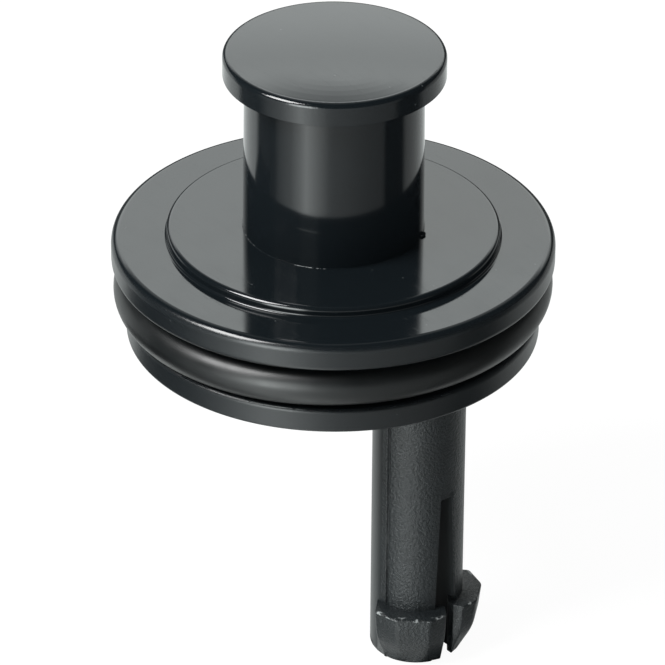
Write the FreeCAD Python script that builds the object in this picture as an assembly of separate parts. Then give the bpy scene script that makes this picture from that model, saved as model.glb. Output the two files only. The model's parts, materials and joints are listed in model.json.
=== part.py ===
"""Captive drain stopper with a lifting knob and a snap-in post, as separate pieces.

Millimetres, +Z up. The origin is the centre of the retaining plate, the plug that enters the
drain, at half its thickness. The post hangs off centre along +X and snaps into a hole beside
the drain's middle, so the stopper lifts and swings aside without coming away.
"""
import FreeCAD, Part
import math
import os

# Sealing disc: flange, raised plateau and the hub that is the floor of the ring's groove
flange_d = 50.8
flange_t = 3.4
flange_round = 1.0
flange_under_round = 0.8
plateau_inset = 6.3
plateau_h = 1.2
plateau_round = 0.55
plateau_root_round = 0.3
groove_h = 5.8
groove_corner_round = 0.3
hub_wall = 2.4
disc_roof = 2.4
disc_boss_d = 17.6
disc_rib_t = 1.6
disc_rib_count = 6

# Seal ring
ring_section_d = 4.8
ring_inset = 0.2
ring_play = 0.05
ring_lift = 0.47

# Retaining plate and its hollow spigot for the clamp screw
plate_inset = 1.65
plate_t = 3.0
plate_round = 0.6
spigot_d = 13.0
spigot_h = 3.0
recess_d = 9.6
recess_depth = 4.2

# Knob: a shell with a flat cap, a boss for the screw and ribs
cap_d = 25.3
cap_t = 2.75
cap_round = 0.65
neck_d = 20.4
neck_draft = 0.15
neck_fillet = 0.5
knob_h = 22.25
knob_wall = 2.2
knob_roof = 2.3
knob_boss_d = 8.4
knob_rib_t = 1.4
knob_rib_count = 4
locator_h = 1.5
locator_wall = 1.5

# Post: a D-shaped foot held between disc and plate, and a shaft split into two fingers
post_d = 10.7
post_inset = 8.0
post_length = 35.2
post_tip_round = 0.5
foot_d = 14.0
foot_t = 1.6
foot_flat_inset = 0.5
slot_length = 22.1
slot_root_w = 1.85
slot_tip_w = 3.4

# Barbs: faceted catches at the tip, nearer to each other than the slot is wide.
# Each corner of their outline is an angle from +X and a share of the reach
barb_reach = 2.3
barb_height = 7.3
barb_land = 3.6
barb_draft = 0.4
barb_gap = 1.1
barb_sink = 0.1
barb_corners = ((4, 0.1), (26, 1.0), (57, 1.0), (80, 0.85), (97, 0.0))

# Clamp screw and washer
screw_d = 4.0
screw_grip = 12.0
screw_head_d = 7.5
screw_head_h = 2.4
screw_head_round = 0.9
screw_point = 1.0
socket_across_flats = 2.5
socket_depth = 1.3
washer_d = 9.0
washer_t = 0.8

# Clearances and small edge breaks
location_gap = 0.1
screw_gap = 0.25
thread_gap = 0.05
edge_break = 0.3

# Levels, counted from the middle of the plate's thickness
plate_bottom = -plate_t / 2
plate_top = plate_t / 2
recess_roof = plate_bottom + recess_depth
spigot_top = plate_top + spigot_h
flange_bottom = plate_top + groove_h
flange_top = flange_bottom + flange_t
plateau_top = flange_top + plateau_h
cavity_roof = plateau_top - disc_roof
cap_top = plateau_top + knob_h
cap_bottom = cap_top - cap_t
knob_roof_z = cap_top - knob_roof
screw_top = plateau_top + screw_grip
tip_z = plate_bottom - post_length
slot_root_z = tip_z + slot_length
ledge_z = tip_z + barb_height
land_bottom_z = ledge_z - barb_land

# Radii and places that several pieces share, stepped in from the flange's edge
flange_r = flange_d / 2
plateau_r = flange_r - plateau_inset
plate_r = flange_r - plate_inset
hub_r = flange_r - ring_inset - ring_section_d - ring_play
post_offset = plate_r - post_inset
locator_r = neck_d / 2 - knob_wall - location_gap
post_r = post_d / 2
foot_r = foot_d / 2
foot_flat_x = hub_r - foot_flat_inset
screw_r = screw_d / 2
screw_hole_r = screw_r + screw_gap

UP = FreeCAD.Vector(0, 0, 1)
ORIGIN = FreeCAD.Vector(0, 0, 0)


def rounded_outline(corners):
    """Closed wire in the XZ plane through (radius, height, corner round) points."""
    spots = [FreeCAD.Vector(radius, 0, height) for radius, height, _ in corners]
    pieces = []
    for index, (_, _, corner_round) in enumerate(corners):
        here = spots[index]
        to_last = (spots[index - 1] - here).normalize()
        to_next = (spots[(index + 1) % len(spots)] - here).normalize()
        if corner_round == 0:
            pieces.append((here, None, here))
            continue
        half_angle = to_last.getAngle(to_next) / 2
        reach = corner_round / math.tan(half_angle)
        inward = (to_last + to_next).normalize()
        middle = here + inward * (corner_round / math.sin(half_angle) - corner_round)
        pieces.append((here + to_last * reach, middle, here + to_next * reach))
    edges = []
    for index, (start, middle, stop) in enumerate(pieces):
        if middle is not None:
            edges.append(Part.Arc(start, middle, stop).toShape())
        following = pieces[(index + 1) % len(pieces)][0]
        if stop.distanceToPoint(following) > 1e-6:
            edges.append(Part.makeLine(stop, following))
    return Part.Wire(edges)


def turned(corners):
    """Solid of revolution about the disc's axis."""
    return Part.Face(rounded_outline(corners)).revolve(ORIGIN, UP, 360)


def cylinder(radius, bottom, top, x=0.0, y=0.0):
    return Part.makeCylinder(radius, top - bottom, FreeCAD.Vector(x, y, bottom))


def radial_ribs(count, thickness, inner_r, outer_r, bottom, top):
    """Flat ribs set evenly round the axis, the first along +X."""
    rib = Part.makeBox(outer_r - inner_r, thickness, top - bottom,
                       FreeCAD.Vector(inner_r, -thickness / 2, bottom))
    ribs = []
    for index in range(count):
        turned_rib = rib.copy()
        turned_rib.rotate(ORIGIN, UP, 360.0 * index / count)
        ribs.append(turned_rib)
    return ribs


def foot_form(gap):
    """The post's D-shaped foot, or with a gap the pocket that it drops into."""
    blank = cylinder(foot_r + gap, plate_top - foot_t, plate_top, x=post_offset)
    size = 4 * foot_d
    keep = Part.makeBox(size, size, size, FreeCAD.Vector(foot_flat_x + gap - size, -size / 2, -size / 2))
    return blank.common(keep)


def stopper_disc():
    """Flange and plateau with a cored hub, closed below by the retaining plate."""
    blank = turned([
        (screw_hole_r, plate_top, 0),
        (hub_r, plate_top, 0),
        (hub_r, flange_bottom, groove_corner_round),
        (flange_r, flange_bottom, flange_under_round),
        (flange_r, flange_top, flange_round),
        (plateau_r, flange_top, plateau_root_round),
        (plateau_r, plateau_top, plateau_round),
        (locator_r, plateau_top, 0),
        (locator_r, plateau_top + locator_h, edge_break),
        (locator_r - locator_wall, plateau_top + locator_h, edge_break),
        (locator_r - locator_wall, plateau_top, 0),
        (screw_hole_r, plateau_top, 0),
    ])
    cavity_r = hub_r - hub_wall
    boss_r = disc_boss_d / 2
    cavity = cylinder(cavity_r, plate_top, cavity_roof).cut(cylinder(boss_r, plate_top, cavity_roof))
    foot_pad = cylinder(foot_r, plate_top, cavity_roof, x=post_offset)
    ribs = radial_ribs(disc_rib_count, disc_rib_t, boss_r / 2, hub_r - hub_wall / 2, plate_top, cavity_roof)
    cavity = cavity.cut([foot_pad] + ribs)
    spigot_socket = cylinder(spigot_d / 2 + location_gap, plate_top, spigot_top)
    return blank.cut([cavity, spigot_socket])


def seal_ring():
    """Rubber ring gripping the hub, a little above the plate."""
    section_r = ring_section_d / 2
    centre = FreeCAD.Vector(0, 0, plate_top + ring_lift + section_r)
    return Part.makeTorus(hub_r + ring_play + section_r, section_r, centre, UP)


def retaining_plate():
    """Lower disc with the spigot that locates it, the post's hole and the foot's pocket."""
    plate = turned([
        (recess_d / 2, plate_bottom, edge_break),
        (plate_r, plate_bottom, plate_round),
        (plate_r, plate_top, plate_round),
        (spigot_d / 2, plate_top, 0),
        (spigot_d / 2, spigot_top, edge_break),
        (screw_hole_r, spigot_top, 0),
        (screw_hole_r, recess_roof, 0),
        (recess_d / 2, recess_roof, 0),
    ])
    post_hole = cylinder(post_r + location_gap, plate_bottom, plate_top, x=post_offset)
    return plate.cut([post_hole, foot_form(location_gap)])


def knob():
    """Hollow knob open at its foot, with the screw's boss and stiffening ribs inside."""
    bore_r = neck_d / 2 - knob_wall
    boss_r = knob_boss_d / 2
    pilot_r = screw_r + thread_gap
    pilot_top = screw_top + screw_point
    shell = turned([
        (0, cap_top, 0),
        (cap_d / 2, cap_top, cap_round),
        (cap_d / 2, cap_bottom, edge_break),
        (neck_d / 2, cap_bottom, neck_fillet),
        (neck_d / 2 + neck_draft, plateau_top, 0),
        (bore_r, plateau_top, 0),
        (bore_r, knob_roof_z, 0),
        (boss_r, knob_roof_z, 0),
        (boss_r, plateau_top, 0),
        (pilot_r, plateau_top, 0),
        (pilot_r, pilot_top, 0),
        (0, pilot_top, 0),
    ])
    rib_foot = plateau_top + 2 * locator_h
    ribs = radial_ribs(knob_rib_count, knob_rib_t, (boss_r + pilot_r) / 2, bore_r + knob_wall / 2,
                       rib_foot, knob_roof_z)
    return shell.fuse(ribs).removeSplitter()


def pivot_post():
    """Foot and the whole upper shaft, down to the root of the slot."""
    shaft = cylinder(post_r, slot_root_z, plate_top, x=post_offset)
    return shaft.fuse(foot_form(0)).removeSplitter()


def barb_outline(side, share, z):
    """Outline of the barb at one level, standing off the shaft by a share of its reach."""
    corners = []
    for angle, stand in barb_corners:
        turn = math.radians(side * angle)
        radius = post_r - barb_sink + (barb_reach * stand + barb_sink) * share
        corners.append(FreeCAD.Vector(post_offset + radius * math.cos(turn), radius * math.sin(turn), z))
    return Part.makePolygon(corners + corners[:1])


def barb(side):
    """Faceted catch: a flat ledge, a land with a little draft and a lead-in to the tip."""
    land_share = 1 - barb_draft / barb_reach
    outlines = [
        barb_outline(side, 1, ledge_z),
        barb_outline(side, land_share, land_bottom_z),
        barb_outline(side, 0, tip_z),
    ]
    return Part.makeLoft(outlines, True, True)


def beside_slot(wall):
    """Block on the -Y side of a wall given by its (distance, level) points, from the top down."""
    far = post_d + barb_reach
    start_x = post_offset - far
    outline = [FreeCAD.Vector(start_x, -distance, z) for distance, z in wall]
    outline.append(FreeCAD.Vector(start_x, -far, wall[-1][1]))
    outline.append(FreeCAD.Vector(start_x, -far, wall[0][1]))
    side = Part.Face(Part.makePolygon(outline + outline[:1]))
    return side.extrude(FreeCAD.Vector(2 * far, 0, 0))


def latch_finger():
    """The -Y half of the split shaft, with a barb that reaches in front of the slot."""
    shaft = turned([
        (0, tip_z, 0),
        (post_r, tip_z, post_tip_round),
        (post_r, slot_root_z, 0),
        (0, slot_root_z, 0),
    ])
    shaft.translate(FreeCAD.Vector(post_offset, 0, 0))
    half = shaft.common(beside_slot([(slot_root_w / 2, slot_root_z), (slot_tip_w / 2, tip_z)]))
    catch = barb(-1).common(beside_slot([
        (barb_gap / 2, ledge_z),
        (barb_gap / 2, land_bottom_z),
        (slot_tip_w / 2, tip_z),
    ]))
    return half.fuse(catch)


def clamp_screw():
    """Screw from below that clamps plate, disc and knob, with a hexagon socket."""
    head_top = recess_roof - washer_t
    head_bottom = head_top - screw_head_h
    screw = turned([
        (0, head_bottom, 0),
        (screw_head_d / 2, head_bottom, screw_head_round),
        (screw_head_d / 2, head_top, 0),
        (screw_r, head_top, 0),
        (screw_r, screw_top - screw_point, 0),
        (screw_r / 2, screw_top, 0),
        (0, screw_top, 0),
    ])
    corner_r = socket_across_flats / math.sqrt(3)
    corners = []
    for index in range(7):
        turn = math.radians(60 * index)
        corners.append(FreeCAD.Vector(corner_r * math.cos(turn), corner_r * math.sin(turn), head_bottom))
    socket = Part.Face(Part.makePolygon(corners)).extrude(UP * socket_depth)
    return screw.cut(socket)


def screw_washer():
    washer_bottom = recess_roof - washer_t
    ring = cylinder(washer_d / 2, washer_bottom, recess_roof)
    return ring.cut(cylinder(screw_hole_r, washer_bottom, recess_roof))


front_finger = latch_finger()
pieces = {
    "stopper_disc": stopper_disc(),
    "seal_ring": seal_ring(),
    "retaining_plate": retaining_plate(),
    "knob": knob(),
    "pivot_post": pivot_post(),
    "latch_finger_left": front_finger,
    "latch_finger_right": front_finger.mirror(ORIGIN, FreeCAD.Vector(0, 1, 0)),
    "clamp_screw": clamp_screw(),
    "screw_washer": screw_washer(),
}

os.makedirs("parts", exist_ok=True)
for name, shape in pieces.items():
    shape.exportStep("parts/" + name + ".step")
    box = shape.BoundBox
    print(f"{name}: {len(shape.Solids)} solid, {shape.Volume:.1f} mm3, valid {shape.isValid()}, "
          f"z {box.ZMin:.2f} to {box.ZMax:.2f}")
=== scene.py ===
# %% [markdown]
# # A captive drain stopper
# A glossy black plug with a mushroom knob, a rubber ring in its groove and, off centre below,
# a split post whose barbs keep it in the drain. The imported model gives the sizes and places.
# This lesson dresses it: turned shapes with soft moulded edges, the post with its barbs, flash
# left by the mould, and four finishes.

# %% Load the frame
import json
import math

import bmesh
import bpy
from mathutils import Matrix, Vector, noise


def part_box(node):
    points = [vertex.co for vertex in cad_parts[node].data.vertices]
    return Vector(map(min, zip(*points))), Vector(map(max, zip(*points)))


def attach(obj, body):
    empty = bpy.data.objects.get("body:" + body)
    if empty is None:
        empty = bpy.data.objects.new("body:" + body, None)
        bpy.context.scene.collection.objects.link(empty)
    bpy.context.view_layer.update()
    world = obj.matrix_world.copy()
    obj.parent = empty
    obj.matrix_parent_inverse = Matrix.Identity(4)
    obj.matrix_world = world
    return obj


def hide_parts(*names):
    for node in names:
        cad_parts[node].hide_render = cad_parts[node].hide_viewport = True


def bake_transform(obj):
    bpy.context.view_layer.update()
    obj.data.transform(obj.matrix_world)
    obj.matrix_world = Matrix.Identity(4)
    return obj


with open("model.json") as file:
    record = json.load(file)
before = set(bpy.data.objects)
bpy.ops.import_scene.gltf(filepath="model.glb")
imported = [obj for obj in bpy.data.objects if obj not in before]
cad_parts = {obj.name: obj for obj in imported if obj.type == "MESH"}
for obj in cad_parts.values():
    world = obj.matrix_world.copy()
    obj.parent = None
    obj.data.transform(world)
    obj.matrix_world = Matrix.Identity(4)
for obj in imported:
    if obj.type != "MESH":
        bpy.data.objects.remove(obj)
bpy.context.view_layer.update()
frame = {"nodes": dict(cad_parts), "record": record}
scene = bpy.context.scene
scene.view_settings.view_transform = "Standard"
MM = 0.001

# %% [markdown]
# ## Sizes from the frame
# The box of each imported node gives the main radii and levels. What a box can't show, such as the
# rounds, the steps and the hollows inside, is written here in millimetres.

# %% Read the sizes


def node_box_mm(node):
    """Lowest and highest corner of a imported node, in millimetres."""
    low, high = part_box(node)
    return [value / MM for value in low], [value / MM for value in high]


_, disc_high = node_box_mm("stopper_disc")
ring_low, ring_high = node_box_mm("seal_ring")
plate_low, plate_high = node_box_mm("retaining_plate")
knob_low, knob_high = node_box_mm("knob")
post_low, post_high = node_box_mm("pivot_post")
finger_low, _ = node_box_mm("latch_finger_left")
_, screw_high = node_box_mm("clamp_screw")

flange_r = disc_high[0]
ring_r = ring_high[0]
ring_section_r = (ring_high[2] - ring_low[2]) / 2
ring_z = (ring_high[2] + ring_low[2]) / 2
hub_r = ring_r - 2 * ring_section_r
plate_r = plate_high[0]
plate_bottom = plate_low[2]
plate_top = post_high[2]
cap_r = knob_high[0]
cap_top = knob_high[2]
plateau_top = knob_low[2]
slot_root_z = post_low[2]
tip_z = finger_low[2]

plateau_h = 1.2
flange_t = 3.4
flange_round = 1.0
flange_under_round = 0.8
flange_top = plateau_top - plateau_h
flange_bottom = flange_top - flange_t
plateau_inset = 6.3
plateau_r = flange_r - plateau_inset
neck_r = 10.2
neck_foot_r = 10.35
cap_t = 2.75
cap_crown = 0.36
cap_edge_drop = 0.06
bore_r = 8.0
boss_r = 4.2
knob_roof = 2.3
screw_r = 2.0
screw_hole_r = 2.25
pilot_room = 1.0
pilot_top = screw_high[2] + pilot_room
spigot_r = 6.5
recess_r = 4.8
recess_depth = 4.2
recess_roof = plate_bottom + recess_depth
plate_round = 0.6

# The record's joint and mount place the post: its axis, its slot and the ledge of its barbs.
finger_joint = frame["record"]["behaviour"]["joints"][0]
post_mount = next(mount for mount in frame["record"]["mounts"] if mount["name"] == "snap_post")
post_x = finger_joint["pos_m"][0] / MM
post_r = post_mount["dims"]["r_mm"]
ledge_z = plate_bottom - post_mount["dims"]["length_mm"]
slot_root_w = 2 * abs(finger_joint["pos_m"][1]) / MM
slot_tip_w = 3.4
tip_round = 0.5
print(f"flange {2 * flange_r:.1f} mm, cap {2 * cap_r:.1f} mm, from {tip_z:.1f} to {cap_top:.1f} mm")

# %% [markdown]
# ## The camera
# The photograph was taken from about 31 degrees above level with a long lens, with the post
# 39 degrees to the right of the line of sight. The place of the flange's centre in the picture
# fixes the rest: the camera looks past it by a few millimetres and leans by less than half a degree.

# %% Camera
view_azimuth = math.radians(51.0)
view_elevation = math.radians(30.8)
view_roll = math.radians(0.44)
picture_px = 665
flange_px = 444.8
focal_px = 5832.0
centre_px = (332.6, 232.83)
sensor_mm = 36.0

mm_per_px = 2 * flange_r / flange_px
toward = Vector((math.sin(view_azimuth), -math.cos(view_azimuth), 0))
right = Vector((math.cos(view_azimuth), math.sin(view_azimuth), 0))
back = toward * math.cos(view_elevation) + Vector((0, 0, math.sin(view_elevation)))
up = back.cross(right)
look_from = Vector((0, 0, flange_top)) + mm_per_px * (
    back * focal_px - right * (centre_px[0] - picture_px / 2) + up * (centre_px[1] - picture_px / 2))

camera_data = bpy.data.cameras.new("camera")
camera_data.sensor_width = sensor_mm
camera_data.lens = sensor_mm * focal_px / picture_px
camera_data.clip_start = 0.01
camera = bpy.data.objects.new("camera", camera_data)
turn = Matrix((right, up, back)).transposed().to_4x4()
camera.matrix_world = Matrix.Translation(look_from * MM) @ turn @ Matrix.Rotation(view_roll, 4, "Z")
scene.collection.objects.link(camera)
scene.camera = camera
print(f"lens {camera_data.lens:.0f} mm at {look_from.length * MM:.2f} m")

# %% [markdown]
# ## Finishes
# Colours are written as they look on a screen and turned to linear light by one function.
# Patterns are sized in millimetres: the noise scale is one over the size in metres, because a
# finished piece keeps its place in its mesh and the object's own coordinates are metres.

# %% Helpers for the finishes


def linear(hex_code):
    """Linear colour from an sRGB hex code."""
    channels = [int(hex_code[i:i + 2], 16) / 255 for i in (1, 3, 5)]
    return tuple(c / 12.92 if c <= 0.04045 else ((c + 0.055) / 1.055) ** 2.4 for c in channels) + (1.0,)


def per_size(size_mm):
    """Texture scale for a pattern of this size in millimetres."""
    return 1.0 / (size_mm * MM)


def add_node(tree, kind, inputs=None, **settings):
    """Adds a node, sets its options and sets or links its inputs."""
    node = tree.nodes.new(kind)
    for name, value in settings.items():
        setattr(node, name, value)
    for name, value in (inputs or {}).items():
        if isinstance(value, bpy.types.NodeSocket):
            tree.links.new(value, node.inputs[name])
        else:
            node.inputs[name].default_value = value
    return node


def new_material(name):
    """Material with an empty tree, its output and the object's own coordinates."""
    material = bpy.data.materials.new(name)
    material.use_nodes = True
    tree = material.node_tree
    tree.nodes.clear()
    output = add_node(tree, "ShaderNodeOutputMaterial")
    place = add_node(tree, "ShaderNodeTexCoord").outputs["Object"]
    return material, tree, output, place


def streaks(tree, place, turn_deg, length_mm, width_mm, cut):
    """Sparse thin lines: stretched noise, cut high so that only its crests remain."""
    along = add_node(tree, "ShaderNodeMapping", {
        "Vector": place, "Rotation": (0, 0, math.radians(turn_deg)), "Scale": (1, length_mm / width_mm, 1)})
    crests = add_node(tree, "ShaderNodeTexNoise", {
        "Vector": along.outputs["Vector"], "Scale": per_size(length_mm), "Detail": 1.0})
    return add_node(tree, "ShaderNodeMapRange", {
        "Value": crests.outputs["Fac"], "From Min": cut, "From Max": cut + 0.03}).outputs["Result"]


# %% [markdown]
# ### Polished moulded black plastic
# Knob, disc and plate are injection-moulded ABS. To the eye it is almost black, and everything it
# shows is reflection. The faces came from a polished part of the tool and mirror the room, with a
# little handling haze, fine scratches and dust. The flange's rounded rim came from a plainer cut:
# it is satin, and speckled where the halves of the tool met. So the shader's roughness and bump
# follow the distance from the axis.

# %% Polished plastic


def hairlines(tree, place):
    """Fine scratches in two directions."""
    first = streaks(tree, place, 25, 9.0, 0.20, 0.70)
    second = streaks(tree, place, -55, 6.0, 0.16, 0.71)
    return add_node(tree, "ShaderNodeMath", {0: first, 1: second}, operation="MAXIMUM").outputs["Value"]


def rim_band(tree, place, start_r, soft_mm):
    """Share from 0 to 1 across the given distance from the axis."""
    flat = add_node(tree, "ShaderNodeVectorMath", {0: place, 1: (1, 1, 0)}, operation="MULTIPLY")
    radius = add_node(tree, "ShaderNodeVectorMath", {0: flat.outputs["Vector"]}, operation="LENGTH")
    return add_node(tree, "ShaderNodeMapRange", {
        "Value": radius.outputs["Value"], "From Min": (start_r - soft_mm / 2) * MM,
        "From Max": (start_r + soft_mm / 2) * MM}, interpolation_type="SMOOTHSTEP").outputs["Result"]


def polished_plastic(name, gloss_rough, rim_rough, rim_r, rim_soft):
    material, tree, output, place = new_material(name)
    haze = add_node(tree, "ShaderNodeTexNoise", {"Vector": place, "Scale": per_size(5.0), "Detail": 4.0})
    hazed = add_node(tree, "ShaderNodeMapRange", {
        "Value": haze.outputs["Fac"], "From Min": 0.35, "From Max": 0.7,
        "To Min": gloss_rough * 0.85, "To Max": gloss_rough * 1.3})
    band = rim_band(tree, place, rim_r, rim_soft)
    rough = add_node(tree, "ShaderNodeMapRange", {
        "Value": band, "To Min": hazed.outputs["Result"], "To Max": rim_rough})
    scratched = add_node(tree, "ShaderNodeBump", {
        "Height": hairlines(tree, place), "Strength": 0.3, "Distance": 0.004 * MM})
    grit = add_node(tree, "ShaderNodeTexNoise", {"Vector": place, "Scale": per_size(0.3), "Detail": 3.0})
    grit_on_rim = add_node(tree, "ShaderNodeMath", {0: grit.outputs["Fac"], 1: band}, operation="MULTIPLY")
    normal = add_node(tree, "ShaderNodeBump", {
        "Height": grit_on_rim.outputs["Value"], "Strength": 0.3, "Distance": 0.03 * MM,
        "Normal": scratched.outputs["Normal"]})
    dust = add_node(tree, "ShaderNodeTexVoronoi", {"Vector": place, "Scale": per_size(2.6)})
    speck = add_node(tree, "ShaderNodeMapRange", {
        "Value": dust.outputs["Distance"], "From Min": 0.055, "From Max": 0.03})
    colour = add_node(tree, "ShaderNodeMix", {
        "Factor": speck.outputs["Result"], "A": linear("#12171a"), "B": linear("#3a3e3f")}, data_type="RGBA")
    shader = add_node(tree, "ShaderNodeBsdfPrincipled", {
        "Base Color": colour.outputs["Result"], "IOR": 1.52, "Roughness": rough.outputs["Result"],
        "Normal": normal.outputs["Normal"]})
    tree.links.new(shader.outputs["BSDF"], output.inputs["Surface"])
    return material


knob_black = polished_plastic("polished_abs_knob", 0.085, 0.12, cap_r - 0.7, 0.3)
disc_black = polished_plastic("polished_abs_disc", 0.10, 0.31, flange_r - 0.3, 0.6)
plate_black = polished_plastic("satin_abs_plate", 0.30, 0.35, plate_r - 1.5, 0.3)
print("made", knob_black.name, disc_black.name, plate_black.name)

# %% [markdown]
# ### Nitrile rubber
# The ring is moulded nitrile rubber: black, a little rougher than the plastic, so its highlight
# spreads along the curve, with a faint bloom that makes patches duller.

# %% Rubber


def ring_rubber():
    material, tree, output, place = new_material("nitrile_rubber")
    bloom = add_node(tree, "ShaderNodeTexNoise", {"Vector": place, "Scale": per_size(3.0), "Detail": 5.0})
    rough = add_node(tree, "ShaderNodeMapRange", {
        "Value": bloom.outputs["Fac"], "From Min": 0.3, "From Max": 0.7, "To Min": 0.32, "To Max": 0.42})
    grain = add_node(tree, "ShaderNodeTexNoise", {"Vector": place, "Scale": per_size(0.25), "Detail": 2.0})
    bump = add_node(tree, "ShaderNodeBump", {
        "Height": grain.outputs["Fac"], "Strength": 0.2, "Distance": 0.01 * MM})
    shader = add_node(tree, "ShaderNodeBsdfPrincipled", {
        "Base Color": linear("#0f1213"), "IOR": 1.52, "Roughness": rough.outputs["Result"],
        "Normal": bump.outputs["Normal"]})
    tree.links.new(shader.outputs["BSDF"], output.inputs["Surface"])
    return material


seal_black = ring_rubber()
print("made", seal_black.name)

# %% [markdown]
# ### Spark-textured post
# The post is acetal from a tool whose outer half was left as the spark eroder cut it: a fine,
# matt pitting. The inner half, on the far side of the moulding line, is smoother. The walls of the
# slot are dull and hardly pitted. The edges of the barbs' ledges get pale spots painted into the
# colour: worn plastic together with a painted highlight where the edge catches the light. The pits
# are drawn about twice as coarse as real ones so that they show in the picture.

# %% Wear and painted highlight on the ledges
# Height of the band at the ledge's edge where pale spots are painted: worn plastic and painted highlight.
wear_and_highlight_height = 0.2


def ledge_wear_and_highlight(tree, place, level, from_axis):
    """Pale spots along the outer edge of the barbs' ledges: worn plastic with a painted highlight."""
    edge = add_node(tree, "ShaderNodeMath", {
        0: level, 1: (ledge_z - wear_and_highlight_height / 2) * MM, 2: wear_and_highlight_height / 2 * MM}, operation="COMPARE")
    out = rim_band(tree, from_axis, post_r + 1.5, 0.3)
    spot_noise = add_node(tree, "ShaderNodeTexNoise", {"Vector": place, "Scale": per_size(0.9), "Detail": 3.0})
    spots = add_node(tree, "ShaderNodeMapRange", {
        "Value": spot_noise.outputs["Fac"], "From Min": 0.54, "From Max": 0.68})
    on_edge = add_node(tree, "ShaderNodeMath", {0: edge.outputs["Value"], 1: out}, operation="MULTIPLY")
    return add_node(tree, "ShaderNodeMath", {
        0: on_edge.outputs["Value"], 1: spots.outputs["Result"]}, operation="MULTIPLY").outputs["Value"]


# %% [markdown]
# Pits, dullness, wear and painted highlight come together in one shader. Which half of the tool a
# spot came from is read from its place along X, and whether it is on the outside from its distance
# to the post's axis.

# %% Post plastic


def post_plastic():
    material, tree, output, place = new_material("spark_textured_acetal")
    axes = add_node(tree, "ShaderNodeSeparateXYZ", {"Vector": place})
    textured = add_node(tree, "ShaderNodeMapRange", {
        "Value": axes.outputs["X"], "From Min": (post_x - 0.05) * MM, "From Max": (post_x + 0.05) * MM})
    pits = add_node(tree, "ShaderNodeTexNoise", {
        "Vector": place, "Scale": per_size(0.34), "Detail": 3.0, "Roughness": 0.6})
    from_axis = add_node(tree, "ShaderNodeMapping", {"Vector": place, "Location": (-post_x * MM, 0, 0)})
    outside = rim_band(tree, from_axis.outputs["Vector"], post_r - 0.35, 0.2)
    pitted = add_node(tree, "ShaderNodeMath", {
        0: textured.outputs["Result"], 1: outside}, operation="MULTIPLY")
    depth = add_node(tree, "ShaderNodeMapRange", {
        "Value": pitted.outputs["Value"], "To Min": 0.08, "To Max": 1.0})
    bump = add_node(tree, "ShaderNodeBump", {
        "Height": pits.outputs["Fac"], "Strength": depth.outputs["Result"], "Distance": 0.14 * MM})
    sparked = add_node(tree, "ShaderNodeMapRange", {
        "Value": textured.outputs["Result"], "To Min": 0.36, "To Max": 0.39})
    rough = add_node(tree, "ShaderNodeMix", {"Factor": outside, "A": 0.75, "B": sparked.outputs["Result"]})
    cloud = add_node(tree, "ShaderNodeTexNoise", {"Vector": place, "Scale": per_size(2.5), "Detail": 3.0})
    clouded = add_node(tree, "ShaderNodeMix", {
        "Factor": cloud.outputs["Fac"], "A": linear("#171b1d"), "B": linear("#1f2426")}, data_type="RGBA")
    # Pale spots on the ledges' edges mixed into the base colour: wear plus a painted highlight.
    colour = add_node(tree, "ShaderNodeMix", {
        "Factor": ledge_wear_and_highlight(tree, place, axes.outputs["Z"], from_axis.outputs["Vector"]),
        "A": clouded.outputs["Result"], "B": linear("#a9afaf")}, data_type="RGBA")
    shader = add_node(tree, "ShaderNodeBsdfPrincipled", {
        "Base Color": colour.outputs["Result"], "IOR": 1.48, "Roughness": rough.outputs["Result"],
        "Normal": bump.outputs["Normal"]})
    tree.links.new(shader.outputs["BSDF"], output.inputs["Surface"])
    return material


post_black = post_plastic()
print("made", post_black.name)

# %% [markdown]
# ### Stainless screw
# The hidden clamp screw and its washer are plain stainless steel, turned, with faint rings.

# %% Stainless steel


def stainless():
    material, tree, output, place = new_material("turned_stainless")
    rings = add_node(tree, "ShaderNodeTexWave", {
        "Vector": place, "Scale": per_size(0.4) / 20, "Distortion": 1.5, "Detail": 2.0},
        wave_type="RINGS", rings_direction="Z")
    rough = add_node(tree, "ShaderNodeMapRange", {
        "Value": rings.outputs["Fac"], "To Min": 0.24, "To Max": 0.36})
    shader = add_node(tree, "ShaderNodeBsdfPrincipled", {
        "Base Color": linear("#b9b8b3"), "Metallic": 1.0, "Roughness": rough.outputs["Result"]})
    tree.links.new(shader.outputs["BSDF"], output.inputs["Surface"])
    return material


steel = stainless()
for node in ("clamp_screw", "screw_washer"):
    frame["nodes"][node].data.materials.clear()
    frame["nodes"][node].data.materials.append(steel)
print("made", steel.name)

# %% [markdown]
# ## Turned pieces
# Knob, disc, ring and plate are all round, so each is a profile swung about the axis. A profile
# lists its corners with the round that each one has, and the rounds become short arcs. That keeps
# every moulded edge soft enough to catch a line of light.

# %% Rounded profiles
arc_steps = 8


def rounded_profile(corners):
    """Points along (radius, height, round) corners, in millimetres."""
    spots = [Vector((radius, height)) for radius, height, _ in corners]
    points = []
    for index, (_, _, corner_round) in enumerate(corners):
        here = spots[index]
        if corner_round == 0:
            points.append(here)
            continue
        to_last = (spots[index - 1] - here).normalized()
        to_next = (spots[(index + 1) % len(spots)] - here).normalized()
        half = to_last.angle(to_next) / 2
        centre = here + (to_last + to_next).normalized() * corner_round / math.sin(half)
        start = here + to_last * corner_round / math.tan(half) - centre
        stop = here + to_next * corner_round / math.tan(half) - centre
        swing = start.angle_signed(stop)
        for step in range(arc_steps + 1):
            angle = -swing * step / arc_steps
            points.append(centre + Matrix.Rotation(angle, 2) @ start)
    return points


# %% [markdown]
# Smooth shading spreads an edge's turn over the whole face beside it, and a long flat would look like
# a pillow. A row of points close to each end of a long straight keeps the turn in the round.

# %% Rows that keep the flats flat
long_run = 0.3
support = 0.03


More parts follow.
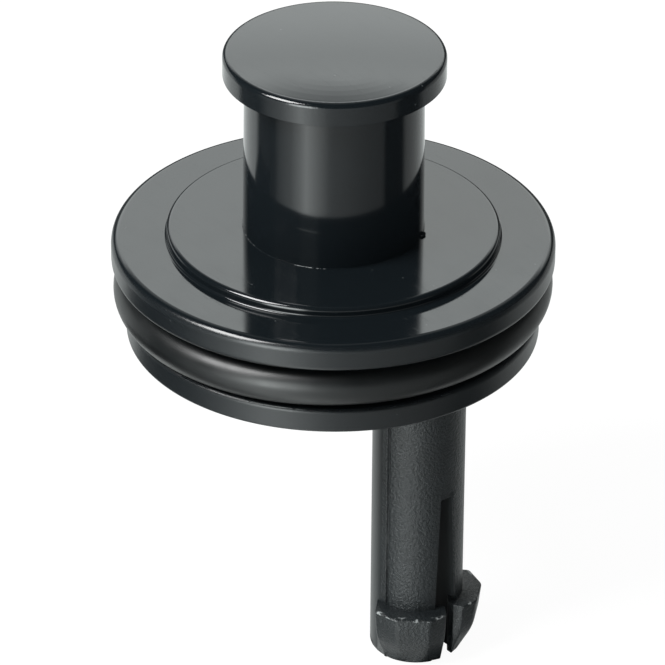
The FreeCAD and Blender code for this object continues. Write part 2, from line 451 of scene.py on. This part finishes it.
def supported(points):
    """The profile with points close to the ends of its long straights, so that they shade flat."""
    rows = []
    for here, following in zip(points, points[1:] + points[:1]):
        rows.append(here)
        run = following - here
        if run.length < long_run:
            continue
        if here.x > 0:
            rows.append(here + run.normalized() * support)
        if following.x > 0:
            rows.append(following - run.normalized() * support)
    return rows


# %% [markdown]
# Every piece ends the same way: doubles merged, faces turned outwards, smooth shading with sharp edges
# where two faces meet at a clear angle, and then the calls that tie it to a body of the frame.

# %% Finish a piece
sharp_deg = 35
merge_dist = 1e-7


def mesh_from(name, build):
    """Mesh with outward faces from a bmesh, which is freed."""
    bmesh.ops.recalc_face_normals(build, faces=build.faces)
    mesh = bpy.data.meshes.new(name)
    build.to_mesh(mesh)
    build.free()
    return mesh


def finish_mesh(name, build, material, body, replaced=()):
    bmesh.ops.remove_doubles(build, verts=build.verts, dist=merge_dist)
    mesh = mesh_from(name, build)
    mesh.shade_smooth()
    mesh.set_sharp_from_angle(angle=math.radians(sharp_deg))
    mesh.materials.append(material)
    piece = bpy.data.objects.new(name, mesh)
    scene.collection.objects.link(piece)
    if body is not None:
        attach(piece, body)
    if replaced:
        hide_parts(*replaced)
    print(name, len(mesh.polygons), "faces")
    return piece


# %% [markdown]
# Blender has a Screw modifier and a Spin tool for this. Rows of vertices made in code give the same
# shape, and close the pole and the seam without doubles.

# %% Swing a profile about the axis
segments = 288
on_axis = 1e-6


def turned(points):
    """Closed profile swung about the axis. Points on the axis become one vertex."""
    build = bmesh.new()
    rows = []
    for point in points:
        if point.x < on_axis:
            rows.append([build.verts.new((0, 0, point.y * MM))] * segments)
            continue
        row = []
        for index in range(segments):
            angle = 2 * math.pi * index / segments
            row.append(build.verts.new((point.x * math.cos(angle) * MM, point.x * math.sin(angle) * MM,
                                        point.y * MM)))
        rows.append(row)
    for row, following in zip(rows, rows[1:] + rows[:1]):
        for index in range(segments):
            other = (index + 1) % segments
            corners = [row[index], row[other], following[other], following[index]]
            unique = list(dict.fromkeys(corners))
            if len(unique) > 2:
                build.faces.new(unique)
    return build


# %% [markdown]
# ### Knob
# The knob is a hollow shell. Its cap is very slightly crowned, as moulded flats are, which lets
# its reflection fade towards the front.

# %% Knob
crown_steps = 12
cap_bottom = cap_top - cap_t
cap_edge = cap_top - cap_edge_drop
cap_profile = []
for step in range(crown_steps):
    share = step / crown_steps
    cap_profile.append((cap_r * share, cap_edge + cap_crown * (1 - share ** 2), 0))
knob_profile = cap_profile + [
    (cap_r, cap_edge, 0.65),
    (cap_r, cap_bottom, 0.06),
    (neck_r, cap_bottom, 0.5),
    (neck_foot_r, plateau_top, 0.05),
    (bore_r, plateau_top, 0),
    (bore_r, cap_top - knob_roof, 0),
    (boss_r, cap_top - knob_roof, 0),
    (boss_r, plateau_top, 0),
    (screw_r, plateau_top, 0),
    (screw_r, pilot_top, 0),
    (0, pilot_top, 0),
]
finish_mesh("knob_shell", turned(supported(rounded_profile(knob_profile))), knob_black,
            "stopper", ["knob"])

# %% [markdown]
# ### Disc
# The plateau's step has a round at its top and a smaller one at its foot: each catches its own
# line of light. The flange is rounded above and, a little less, below.

# %% Disc
disc_profile = [
    (screw_hole_r, plate_top, 0),
    (hub_r, plate_top, 0),
    (hub_r, flange_bottom, 0.3),
    (flange_r, flange_bottom, flange_under_round),
    (flange_r, flange_top, flange_round),
    (plateau_r, flange_top, 0.3),
    (plateau_r, plateau_top, 0.55),
    (screw_hole_r, plateau_top, 0),
]
finish_mesh("disc_flange", turned(supported(rounded_profile(disc_profile))), disc_black,
            "stopper", ["stopper_disc"])

# %% [markdown]
# ### Seal ring
# The ring is stretched over the hub and lies a little askew in its groove, lower on one side. It is
# turned level and then tipped by one degree, which still clears the plate and the flange.

# %% Ring
section_steps = 48
ring_tip = math.radians(1.0)
ring_profile = []
for step in range(section_steps):
    angle = 2 * math.pi * step / section_steps
    ring_profile.append(Vector((ring_r - ring_section_r + ring_section_r * math.cos(angle),
                                ring_z + ring_section_r * math.sin(angle))))
ring_build = turned(ring_profile)
bmesh.ops.rotate(ring_build, verts=ring_build.verts, cent=(0, 0, ring_z * MM),
                 matrix=Matrix.Rotation(ring_tip, 3, toward))
finish_mesh("ring_seal", ring_build, seal_black, "stopper", ["seal_ring"])

# %% [markdown]
# ### Retaining plate
# The plate is turned too, and then the hole for the post is cut through it with a Boolean, because
# the hole is off the axis and the turned rows can't make room for it.

# %% Helpers for Booleans


def loose_object(name, build):
    """Plain helper object for a Boolean."""
    helper = bpy.data.objects.new(name, mesh_from(name, build))
    scene.collection.objects.link(helper)
    return helper


def combined(base, *steps):
    """The base after each (tool, operation), as a bmesh. The helpers are removed."""
    for tool, operation in steps:
        modifier = base.modifiers.new(operation.lower(), "BOOLEAN")
        modifier.object = tool
        modifier.operation = operation
        modifier.solver = "EXACT"
    result = base.evaluated_get(bpy.context.evaluated_depsgraph_get()).to_mesh()
    build = bmesh.new()
    build.from_mesh(result)
    for helper in [base] + [tool for tool, _ in steps]:
        bpy.data.objects.remove(helper)
    return build


# %% Plate
hole_room = 0.15
hole_depth = 20
hole_segments = 128
plate_profile = [
    (recess_r, plate_bottom, 0.3),
    (plate_r, plate_bottom, 0.4),
    (plate_r, plate_top, plate_round),
    (spigot_r, plate_top, 0),
    (spigot_r, plate_high[2], 0.3),
    (screw_hole_r, plate_high[2], 0),
    (screw_hole_r, recess_roof, 0),
    (recess_r, recess_roof, 0),
]
hole_build = bmesh.new()
bmesh.ops.create_cone(hole_build, cap_ends=True, segments=hole_segments, radius1=(post_r + hole_room) * MM,
                      radius2=(post_r + hole_room) * MM, depth=hole_depth * MM,
                      matrix=Matrix.Translation((post_x * MM, 0, 0)))
plate_build = combined(loose_object("plate_stock", turned(supported(rounded_profile(plate_profile)))),
                       (loose_object("post_hole", hole_build), "DIFFERENCE"))
finish_mesh("plate_plug", plate_build, plate_black, "stopper", ["retaining_plate"])

# %% [markdown]
# ## The split post
# Below the slot's root the post is two half-round fingers with faceted barbs. The shaft is built
# row by row from one rule for its radius: a circle, a ragged ridge with a groove beside it where
# the halves of the tool met, and the inner half a hair lower. The barbs are lofted and the slot is
# cut afterwards.

# %% Rule for the shaft
seam_step = 0.06
ridge_height = 0.20
ridge_width = 0.11
groove_depth = 0.13
groove_width = 0.10
groove_place = 0.22
seam_soft = 0.03
seam_angle = math.radians(80.5)
lip_height = 0.14
lip_fade = 0.28
lip_half_w = 1.6


def shaft_radius(angle, z):
    """The shaft's circle with its rounded tip, the mould line and the lip at the slot's root."""
    radius = post_r
    above_tip = z - tip_z
    if above_tip < tip_round:
        radius -= tip_round - math.sqrt(tip_round ** 2 - (tip_round - above_tip) ** 2)
    from_seam = (abs(angle) - seam_angle) * post_r
    lower = seam_step / (1 + math.exp(-from_seam / seam_soft))
    slow = noise.noise(Vector((0.3, 0, z * 0.9)))
    quick = noise.noise(Vector((4.1, 0, z * 3.1)))
    ragged = 0.7 + 0.5 * slow + 0.5 * quick
    ridge = ridge_height * max(0.25, ragged) * math.exp(-(from_seam / ridge_width) ** 2)
    above_slot = z - slot_root_z
    lip = 0.0
    if above_slot >= 0 and abs(angle) * post_r < lip_half_w:
        lumps = max(0.0, 0.4 + 1.2 * noise.noise(Vector((angle * 9, 2.2, 0))))
        lip = lip_height * lumps * math.exp(-(above_slot / lip_fade) ** 2)
    groove = groove_depth * math.exp(-((from_seam + groove_place) / groove_width) ** 2)
    return radius - lower + ridge - groove + lip


print(f"shaft {2 * post_r:.1f} mm, mould lines {math.degrees(seam_angle):.1f} degrees from its outer side")

# %% [markdown]
# The rows are joined like the hoops of a barrel. Points are crowded at the mould lines, where the
# radius changes within a few tenths of a millimetre, and are sparse elsewhere.

# %% Rows of the shaft
crowd_steps = 11
crowd_pitch = 0.045
outer_steps = 40
inner_steps = 36
row_height = 0.2


def shaft_angles():
    """Angles once round the post, crowded at the two mould lines."""
    half_crowd = crowd_steps * crowd_pitch / post_r
    outer = [(seam_angle - half_crowd) * index / outer_steps for index in range(outer_steps)]
    crowd = [seam_angle + offset * crowd_pitch / post_r for offset in range(-crowd_steps, crowd_steps)]
    start = seam_angle + half_crowd
    inner = [start + (math.pi - start) * index / inner_steps for index in range(inner_steps + 1)]
    half = outer + crowd + inner
    return half + [-angle for angle in reversed(half[1:-1])]


def skin(build, rows):
    """Joins rows of vertices into a closed loft."""
    for row, following in zip(rows, rows[1:]):
        for index in range(len(row)):
            other = (index + 1) % len(row)
            build.faces.new([row[index], row[other], following[other], following[index]])
    build.faces.new(rows[0])
    build.faces.new(rows[-1])
    return build


def shaft_build(top, bottom, tip_rows=()):
    """Closed round bar between two levels."""
    count = max(1, round((top - bottom) / row_height))
    levels = [top + (bottom - top) * index / count for index in range(count + 1)] + list(tip_rows)
    build = bmesh.new()
    rows = []
    for z in levels:
        row = []
        for angle in shaft_angles():
            radius = shaft_radius(angle, z)
            spot = Vector((post_x + radius * math.cos(angle), radius * math.sin(angle), z))
            row.append(build.verts.new(spot * MM))
        rows.append(row)
    return skin(build, rows)


# %% [markdown]
# The upper shaft is whole, rides on the stopper's body and stops at the slot's root, where the fingers
# go on with the same rows.

# %% Upper shaft
finish_mesh("post_shaft", shaft_build(plate_top, slot_root_z), post_black,
            "stopper", ["pivot_post"])

# %% [markdown]
# A barb is a faceted catch with a flat ledge, a land with a little draft and a lead-in that runs back
# into the shaft at the tip. Each section is the same six-cornered outline with softened corners,
# drawn in more and more towards the tip. A box with bevels would be quicker, but its facets would not
# wrap round the shaft as these do.

# %% Barb
barb_reach = 2.3
barb_draft = 0.4
barb_sink = 0.1
# Each corner: degrees from the outer side, share of the reach, and its round.
barb_corners = ((5, 0.0, 0), (13, 0.65, 0.4), (28, 0.98, 1.2), (57, 1.0, 1.2), (81, 0.82, 0.5),
                (97, 0.0, 0))
ledge_round = 0.2
ledge_steps = 4
tip_lift = 0.25
land_length = 3.6
inner_from = 13
inner_fade = 27
bend_share = 0.35
bend_steps = 6
land_bottom_z = ledge_z - land_length


def barb_section(reach, z, inner_turn):
    """Corners of the barb's outline at one level, softened. The inner ones are turned to the gap."""
    corners = []
    for turn_deg, stand, corner_round in barb_corners:
        share = 1 - min(1.0, max(0.0, turn_deg - inner_from) / inner_fade)
        turn = math.radians(turn_deg - inner_turn * share)
        radius = post_r - barb_sink + stand * (reach + barb_sink)
        corners.append((radius * math.cos(turn), radius * math.sin(turn), corner_round))
    return [Vector((post_x + spot.x, spot.y, z)) * MM for spot in rounded_profile(corners)]


def barb_build(inner_turn):
    """Loft of the barb's sections: rounded ledge edge, land, bend and lead-in."""
    levels = []
    for step in range(ledge_steps + 1):
        swing = math.pi / 2 * step / ledge_steps
        levels.append(Vector((barb_reach - ledge_round * (1 - math.sin(swing)),
                              ledge_z - ledge_round * (1 - math.cos(swing)))))
    ledge = Vector((barb_reach, ledge_z))
    land = Vector((barb_reach - barb_draft, land_bottom_z))
    tip = Vector((-barb_sink * 0.5, tip_z + tip_lift))
    for step in range(bend_steps + 1):
        share = step / bend_steps
        before = land.lerp(ledge, bend_share * (1 - share))
        after = land.lerp(tip, bend_share * share)
        levels.append(before.lerp(after, share))
    levels.append(tip)
    build = bmesh.new()
    rows = [[build.verts.new(spot) for spot in barb_section(reach, z, inner_turn)] for reach, z in levels]
    return skin(build, rows)


# %% [markdown]
# Each finger is the bar on one side of the tapered slot, joined to a barb that reaches in front of
# the slot and leaves only a narrow gap to its neighbour. The walls of slot and gap are blocks that
# the bar and the barb are intersected with. The left finger is made on the right and mirrored. Slot
# and gap lean a few tenths of a millimetre to the right, so the right finger is the thinner one.

# %% Walls of slot and gap
overrun = 1.0
block_reach = 12.0


def wall_block(name, wall):
    """Block on one side of a wall given by its (distance, level) points, from the top down."""
    outline = wall + [(block_reach, wall[-1][1]), (block_reach, wall[0][1])]
    build = bmesh.new()
    ends = []
    for x in (post_x - block_reach, post_x + block_reach):
        ends.append([build.verts.new(Vector((x, distance, z)) * MM) for distance, z in outline])
    return loose_object(name, skin(build, ends))


def run_on(start, stop, beyond):
    """Point on the line from start to stop, carried on past stop by a distance in height."""
    share = beyond / (start[1] - stop[1])
    return (stop[0] + (stop[0] - start[0]) * share, stop[1] - beyond)


def finger_walls(slot_half, gap_levels):
    """Points of a finger's slot wall and of its barb's gap wall, from the middle plane."""
    slot_root, slot_tip = (slot_root_w / 2, slot_root_z), (slot_half, tip_z)
    ledge_end, land_end, tip_end = zip(gap_levels, (ledge_z, land_bottom_z, tip_z))
    slot_wall = [run_on(slot_tip, slot_root, -overrun), run_on(slot_root, slot_tip, overrun)]
    gap_wall = [run_on(land_end, ledge_end, -overrun), land_end, run_on(land_end, tip_end, overrun)]
    return slot_wall, gap_wall


# %% [markdown]
# A finger's numbers are its side, half the slot's width at the tip, the gap wall's distance from the
# middle plane at the ledge, the land's end and the tip, and the turn of the barb's inner corners.

# %% Fingers
slot_lean = 0.42
inner_swing = 4.5
tip_steps = 4
tip_rows = [tip_z + tip_round * (1 - math.sin(math.pi / 2 * step / tip_steps))
            for step in range(1, tip_steps + 1)]
finger_sides = {
    "right": (1, slot_tip_w / 2 + slot_lean, (0.86, 0.86, 1.15), 0),
    "left": (-1, slot_tip_w / 2, (-0.12, 0.05, 0.6), inner_swing),
}
for name, (side, slot_half, gap_levels, swing) in finger_sides.items():
    slot_wall, gap_wall = finger_walls(slot_half, gap_levels)
    bar = loose_object("bar", shaft_build(slot_root_z, tip_z + tip_round, tip_rows))
    half = combined(bar, (wall_block("slot_side", slot_wall), "INTERSECT"))
    catch = combined(loose_object("barb", barb_build(swing)),
                     (wall_block("gap_side", gap_wall), "INTERSECT"))
    whole = combined(loose_object("half", half), (loose_object("catch", catch), "UNION"))
    bmesh.ops.scale(whole, verts=whole.verts, vec=(1, side, 1))
    finger = finish_mesh("finger_" + name, whole, post_black, None, ["latch_finger_" + name])
    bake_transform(finger)

# %% [markdown]
# ## Flash
# Where the mould's halves met, a little plastic squeezed out: a ragged bead round the foot of the
# neck and broken lines along the plate's upper edge. They follow circles, so one node tree makes
# them: a circle that loses stretches by noise and is swept with a thin section whose size wanders.

# %% Tree for flash
flash_inputs = (("Ring Radius", "Float"), ("Level", "Float"), ("Bead Radius", "Float"),
                ("Keep Above", "Float"), ("Stretch", "Float"), ("Seed", "Float"), ("Finish", "Material"))


def flash_tree():
    tree = bpy.data.node_groups.new("mould_flash", "GeometryNodeTree")
    for name, kind in flash_inputs:
        tree.interface.new_socket(name, in_out="INPUT", socket_type="NodeSocket" + kind)
    tree.interface.new_socket("Mesh", in_out="OUTPUT", socket_type="NodeSocketGeometry")
    given = add_node(tree, "NodeGroupInput").outputs
    circle = add_node(tree, "GeometryNodeMeshCircle", {"Vertices": 720, "Radius": given["Ring Radius"]})
    lift = add_node(tree, "ShaderNodeCombineXYZ", {"Z": given["Level"]})
    lifted = add_node(tree, "GeometryNodeTransform", {
        "Geometry": circle.outputs["Mesh"], "Translation": lift.outputs["Vector"]})
    place = add_node(tree, "GeometryNodeInputPosition").outputs["Position"]
    broken = add_node(tree, "ShaderNodeTexNoise", {
        "Vector": place, "W": given["Seed"], "Scale": given["Stretch"], "Detail": 2.0}, noise_dimensions="4D")
    lost = add_node(tree, "FunctionNodeCompare", {
        "A": broken.outputs["Fac"], "B": given["Keep Above"]}, operation="LESS_THAN")
    kept = add_node(tree, "GeometryNodeDeleteGeometry", {
        "Geometry": lifted.outputs["Geometry"], "Selection": lost.outputs["Result"]}, domain="EDGE")
    line = add_node(tree, "GeometryNodeMeshToCurve", {"Mesh": kept.outputs["Geometry"]})
    lumps = add_node(tree, "ShaderNodeTexNoise", {
        "Vector": place, "W": given["Seed"], "Scale": per_size(0.5), "Detail": 2.0}, noise_dimensions="4D")
    swell = add_node(tree, "ShaderNodeMapRange", {
        "Value": lumps.outputs["Fac"], "From Min": 0.3, "From Max": 0.7, "To Min": 0.35, "To Max": 1.0})
    section = add_node(tree, "GeometryNodeCurvePrimitiveCircle", {
        "Resolution": 8, "Radius": given["Bead Radius"]})
    swept = add_node(tree, "GeometryNodeCurveToMesh", {
        "Curve": line.outputs["Curve"], "Profile Curve": section.outputs["Curve"],
        "Scale": swell.outputs["Result"], "Fill Caps": True})
    real = add_node(tree, "GeometryNodeRealizeInstances", {"Geometry": swept.outputs["Mesh"]})
    dressed = add_node(tree, "GeometryNodeSetMaterial", {
        "Geometry": real.outputs["Geometry"], "Material": given["Finish"]})
    add_node(tree, "NodeGroupOutput", {"Mesh": dressed.outputs["Geometry"]})
    return tree


flash_nodes = flash_tree()
print("tree", flash_nodes.name, "with", len(flash_nodes.nodes), "nodes")

# %% [markdown]
# The tree runs once for each line of flash, with its own sizes and seed. The results are gathered in
# one plain mesh, together with the small burr that stands at the foot of the neck.

# %% Helpers for flash


def flash_mesh(settings):
    """Plain mesh of the tree with these inputs."""
    holder = bpy.data.objects.new("flash_holder", bpy.data.meshes.new("flash_holder"))
    scene.collection.objects.link(holder)
    modifier = holder.modifiers.new("flash", "NODES")
    modifier.node_group = flash_nodes
    for item in flash_nodes.interface.items_tree:
        if item.in_out == "INPUT":
            modifier[item.identifier] = settings[item.name]
    evaluated = holder.evaluated_get(bpy.context.evaluated_depsgraph_get())
    mesh = bpy.data.meshes.new_from_object(evaluated)
    holder.modifiers.clear()
    bpy.data.objects.remove(holder)
    return mesh


def burr_build(build, spot, size):
    """Ragged lump of plastic added to a bmesh."""
    lump = bmesh.ops.create_icosphere(build, subdivisions=3, radius=size * MM)["verts"]
    for vert in lump:
        ragged = 1 + 0.55 * noise.noise(vert.co / MM * 3.5)
        vert.co = vert.co * ragged + spot * MM


# %% [markdown]
# Two lines are drawn: one at the neck's foot, and one half-way round the plate's rounded upper edge.

# %% Flash
edge_inset = plate_round * (1 - math.sqrt(0.5))
bead_lift = 0.02
burr_size = 0.32
burr_stand = 0.08
burr_lift = 0.2
flash_lines = [
    {"Ring Radius": neck_foot_r * MM, "Level": (plateau_top + bead_lift) * MM, "Bead Radius": 0.11 * MM,
     "Keep Above": 0.42, "Stretch": per_size(6.0), "Seed": 3.0, "Finish": knob_black},
    {"Ring Radius": (plate_r - edge_inset) * MM, "Level": (plate_top - edge_inset) * MM,
     "Bead Radius": 0.08 * MM, "Keep Above": 0.54, "Stretch": per_size(4.0), "Seed": 8.0,
     "Finish": plate_black},
]
flash_build = bmesh.new()
for settings in flash_lines:
    line_mesh = flash_mesh(settings)
    flash_build.from_mesh(line_mesh)
    print("flash at radius", round(settings["Ring Radius"] / MM, 2), "with", len(line_mesh.polygons), "faces")
    bpy.data.meshes.remove(line_mesh)
burr_turn = math.radians(76)
burr_out = toward * math.cos(burr_turn) + right * math.sin(burr_turn)
burr_spot = burr_out * (neck_foot_r + burr_stand) + Vector((0, 0, plateau_top + burr_lift))
burr_build(flash_build, burr_spot, burr_size)
finish_mesh("mould_flash", flash_build, knob_black, "stopper")

# %% [markdown]
# ## Stage and light
# The part stands on white paper. Black gloss shows nothing but its surroundings, so the room round
# it matters more than the lamps: a bright cloth behind, which the flat tops mirror, a pale table
# that is lighter on the left, and a dark room on the camera's side. The paper is left out of the
# reflections and the room takes its place there, so that a wall's tone depends on its direction alone.

# %% Floor


def floor_paper():
    material, tree, output, _ = new_material("paper_sweep")
    seen = add_node(tree, "ShaderNodeLightPath")
    share = add_node(tree, "ShaderNodeMath", {0: seen.outputs["Is Camera Ray"], 1: 0.9}, operation="MULTIPLY")
    paper = add_node(tree, "ShaderNodeBsdfDiffuse", {"Color": linear("#f8f9f9")})
    white = add_node(tree, "ShaderNodeEmission", {"Color": (1, 1, 1, 1), "Strength": 1.05})
    mix = add_node(tree, "ShaderNodeMixShader", {
        "Fac": share.outputs["Value"], 1: paper.outputs["BSDF"], 2: white.outputs["Emission"]})
    tree.links.new(mix.outputs["Shader"], output.inputs["Surface"])
    return material


def flat_card(name, corners, material):
    mesh = bpy.data.meshes.new(name)
    mesh.from_pydata(corners, [], [range(len(corners))])
    mesh.materials.append(material)
    card = bpy.data.objects.new(name, mesh)
    scene.collection.objects.link(card)
    return card


half_floor = 3.0
floor_drop = 0.02
floor_z = (tip_z - floor_drop) * MM
floor = flat_card("floor", [(x * half_floor, y * half_floor, floor_z)
                            for x, y in ((-1, -1), (1, -1), (1, 1), (-1, 1))], floor_paper())
floor.visible_glossy = False
print(f"floor at {floor_z / MM:.2f} mm")

# %% [markdown]
# Dark cards take light away from reflections, as a photographer's flags do. One lies on the table on
# the left: the low walls of flange, ring and plate mirror it, while neck and cap look over it. One
# lies under the foot of the post, whose slot would else mirror the bright table. The camera doesn't
# see them and they throw no shadow.

# %% Shade cards


def card_black():
    material, tree, output, _ = new_material("matt_black_card")
    cloth = add_node(tree, "ShaderNodeBsdfDiffuse", {"Color": linear("#1c1e1f")})
    tree.links.new(cloth.outputs["BSDF"], output.inputs["Surface"])
    return material


def shade_card(name, corners, material):
    card = flat_card(name, corners, material)
    card.visible_camera = False
    card.visible_diffuse = False
    card.visible_shadow = False


flag_black = card_black()
table_card_lift = 0.3
foot_card_lift = 0.005
table_outline = [(-36, -55), (-46, -85), (-46, -102), (-30, -116), (10, -116), (10, -55)]
table_level = Vector((0, 0, floor_z + table_card_lift * MM))
shade_card("table_shade", [(toward * ahead + right * aside) * MM + table_level
                           for ahead, aside in table_outline], flag_black)
foot_outline = [(-5, -3), (-3, -5), (3, -5), (4.5, -3), (6.3, -3), (6.3, 1.2), (5, 1.2), (5, 3),
                (3, 5), (-3, 5), (-5, 3)]
shade_card("foot_shade", [Vector(((post_x + ahead) * MM, aside * MM, floor_z + foot_card_lift * MM))
                          for ahead, aside in foot_outline], flag_black)
print("shade cards with", len(table_outline), "and", len(foot_outline), "corners")

# %% [markdown]
# The room is a rule for the brightness by direction. Azimuths are counted from the camera, to the
# right. Below the horizon lies the table, above it the cloth and the dark room.

# %% Room
peak = 8.0
table_by_azimuth = [
    (-180, 1.0), (-118, 1.0), (-110, 0.12), (-82, 0.1), (-75, 0.4), (-56, 1.0), (-44, 2.0), (-35, 3.1),
    (-19, 1.8), (-6, 0.85), (0, 0.7), (36, 0.42), (64, 0.28), (70, 0.03), (96, 0.03), (104, 0.4),
    (126, 0.55), (147, 0.76), (180, 1.0)]
cloth_by_azimuth = [(-180, 1.0), (-160, 1.0), (-140, 0.02), (140, 0.02), (160, 1.0), (180, 1.0)]
cloth_by_height = [
    (-90, 0.1), (14, 0.15), (19, 2.1), (24, 2.25), (29, 2.1), (32.2, 2.55), (33, 1.7), (35, 0.75),
    (50, 0.4), (90, 0.15)]
panel_by_azimuth = [(-180, 0.0), (-47, 0.0), (-40, 7.5), (-23, 7.5), (-16, 0.0), (180, 0.0)]
panel_by_height = [(-90, 0.0), (-12, 0.0), (-6, 1.0), (21, 1.0), (27, 0.12), (36, 0.0), (90, 0.0)]
horizon_deg = (7, 12)
room_tint = (0.95, 1.0, 0.99)
far_edge = 0.5
fill = 0.45


def ramp(tree, value, stops):
    """Colour ramp through (place from 0 to 1, brightness) stops, scaled to the peak."""
    node = add_node(tree, "ShaderNodeValToRGB", {"Fac": value})
    points = node.color_ramp.elements
    points[0].position, points[1].position = stops[0][0], stops[-1][0]
    for place, _ in stops[1:-1]:
        points.new(place)
    for point, (_, level) in zip(points, stops):
        point.color = (level / peak, level / peak, level / peak, 1)
    return node.outputs["Color"]


def by_turn(stops, scale=1.0):
    """Ramp stops for azimuths in degrees."""
    return [(deg / 360 + 0.5, level * scale) for deg, level in stops]


def by_rise(stops, scale=1.0):
    """Ramp stops for heights in degrees above the horizon."""
    return [((math.sin(math.radians(deg)) + 1) / 2, level * scale) for deg, level in stops]


# %% [markdown]
# One node tree adds it up: table below, cloth above, and a bright panel on the left. Only glossy rays
# see this room. Matt light comes from a plain white world, and the camera sees white.

# %% Build the room


def room():
    world = bpy.data.worlds.new("room")
    world.use_nodes = True
    tree = world.node_tree
    tree.nodes.clear()
    ray = add_node(tree, "ShaderNodeTexCoord").outputs["Generated"]
    faced = add_node(tree, "ShaderNodeMapping", {
        "Vector": ray, "Rotation": (0, 0, math.pi / 2 - view_azimuth)})
    around = add_node(tree, "ShaderNodeTexGradient", {
        "Vector": faced.outputs["Vector"]}, gradient_type="RADIAL")
    height = add_node(tree, "ShaderNodeSeparateXYZ", {"Vector": ray}).outputs["Z"]
    turns = around.outputs["Fac"]
    rise = add_node(tree, "ShaderNodeMapRange", {"Value": height, "From Min": -1.0}).outputs["Result"]
    table = ramp(tree, turns, by_turn(table_by_azimuth))
    cloth_turn = ramp(tree, turns, by_turn(cloth_by_azimuth, peak))
    cloth = add_node(tree, "ShaderNodeMath", {
        0: cloth_turn, 1: ramp(tree, rise, by_rise(cloth_by_height))}, operation="MULTIPLY")
    panel = add_node(tree, "ShaderNodeMath", {
        0: ramp(tree, turns, by_turn(panel_by_azimuth)), 1: ramp(tree, rise, by_rise(panel_by_height, peak))},
        operation="MULTIPLY")
    nearer = add_node(tree, "ShaderNodeMath", {
        0: cloth_turn, 1: far_edge, 2: height}, operation="MULTIPLY_ADD")
    above = add_node(tree, "ShaderNodeMapRange", {
        "Value": nearer.outputs["Value"], "From Min": math.sin(math.radians(horizon_deg[0])),
        "From Max": math.sin(math.radians(horizon_deg[1]))})
    far = add_node(tree, "ShaderNodeMix", {
        "Factor": above.outputs["Result"], "A": table, "B": cloth.outputs["Value"]}, data_type="RGBA")
    level = add_node(tree, "ShaderNodeVectorMath", {0: far.outputs["Result"], 1: panel.outputs["Value"]})
    tinted = add_node(tree, "ShaderNodeVectorMath", {
        0: level.outputs["Vector"], 1: room_tint}, operation="MULTIPLY")
    seen = add_node(tree, "ShaderNodeLightPath")
    mirrored = add_node(tree, "ShaderNodeBackground", {"Color": tinted.outputs["Vector"], "Strength": peak})
    plain = add_node(tree, "ShaderNodeBackground", {"Color": (1, 1, 1, 1), "Strength": fill})
    white = add_node(tree, "ShaderNodeBackground", {"Color": (1, 1, 1, 1), "Strength": 1.0})
    lit = add_node(tree, "ShaderNodeMixShader", {
        "Fac": seen.outputs["Is Glossy Ray"], 1: plain.outputs["Background"],
        2: mirrored.outputs["Background"]})
    shown = add_node(tree, "ShaderNodeMixShader", {
        "Fac": seen.outputs["Is Camera Ray"], 1: lit.outputs["Shader"], 2: white.outputs["Background"]})
    add_node(tree, "ShaderNodeOutputWorld", {"Surface": shown.outputs["Shader"]})
    return world


scene.world = room()
print("room made with", len(scene.world.node_tree.nodes), "nodes")

# %% [markdown]
# One wide softbox stands on the left, higher than the camera. It draws the thin bright lines along
# the edges and models the matt post.

# %% Softbox


def softbox(name, turn_deg, height_deg, distance, width, height, radiance):
    """Area light aimed at the disc. Its turn is counted from the camera, to the right."""
    turn = math.radians(turn_deg)
    lift = math.radians(height_deg)
    level = toward * math.cos(turn) + right * math.sin(turn)
    out = level * math.cos(lift) + Vector((0, 0, math.sin(lift)))
    data = bpy.data.lights.new(name, "AREA")
    data.shape = "RECTANGLE"
    data.size = width
    data.size_y = height
    data.energy = radiance * math.pi * width * height
    light = bpy.data.objects.new(name, data)
    light.location = out * distance
    light.rotation_euler = out.to_track_quat("Z", "Y").to_euler()
    light.visible_camera = False
    scene.collection.objects.link(light)
    print(f"{name} at {turn_deg} degrees, {height_deg} degrees up, {data.energy:.2f} W")


softbox("key_softbox", turn_deg=-64, height_deg=47.5, distance=0.7, width=0.32, height=0.32, radiance=19.0)
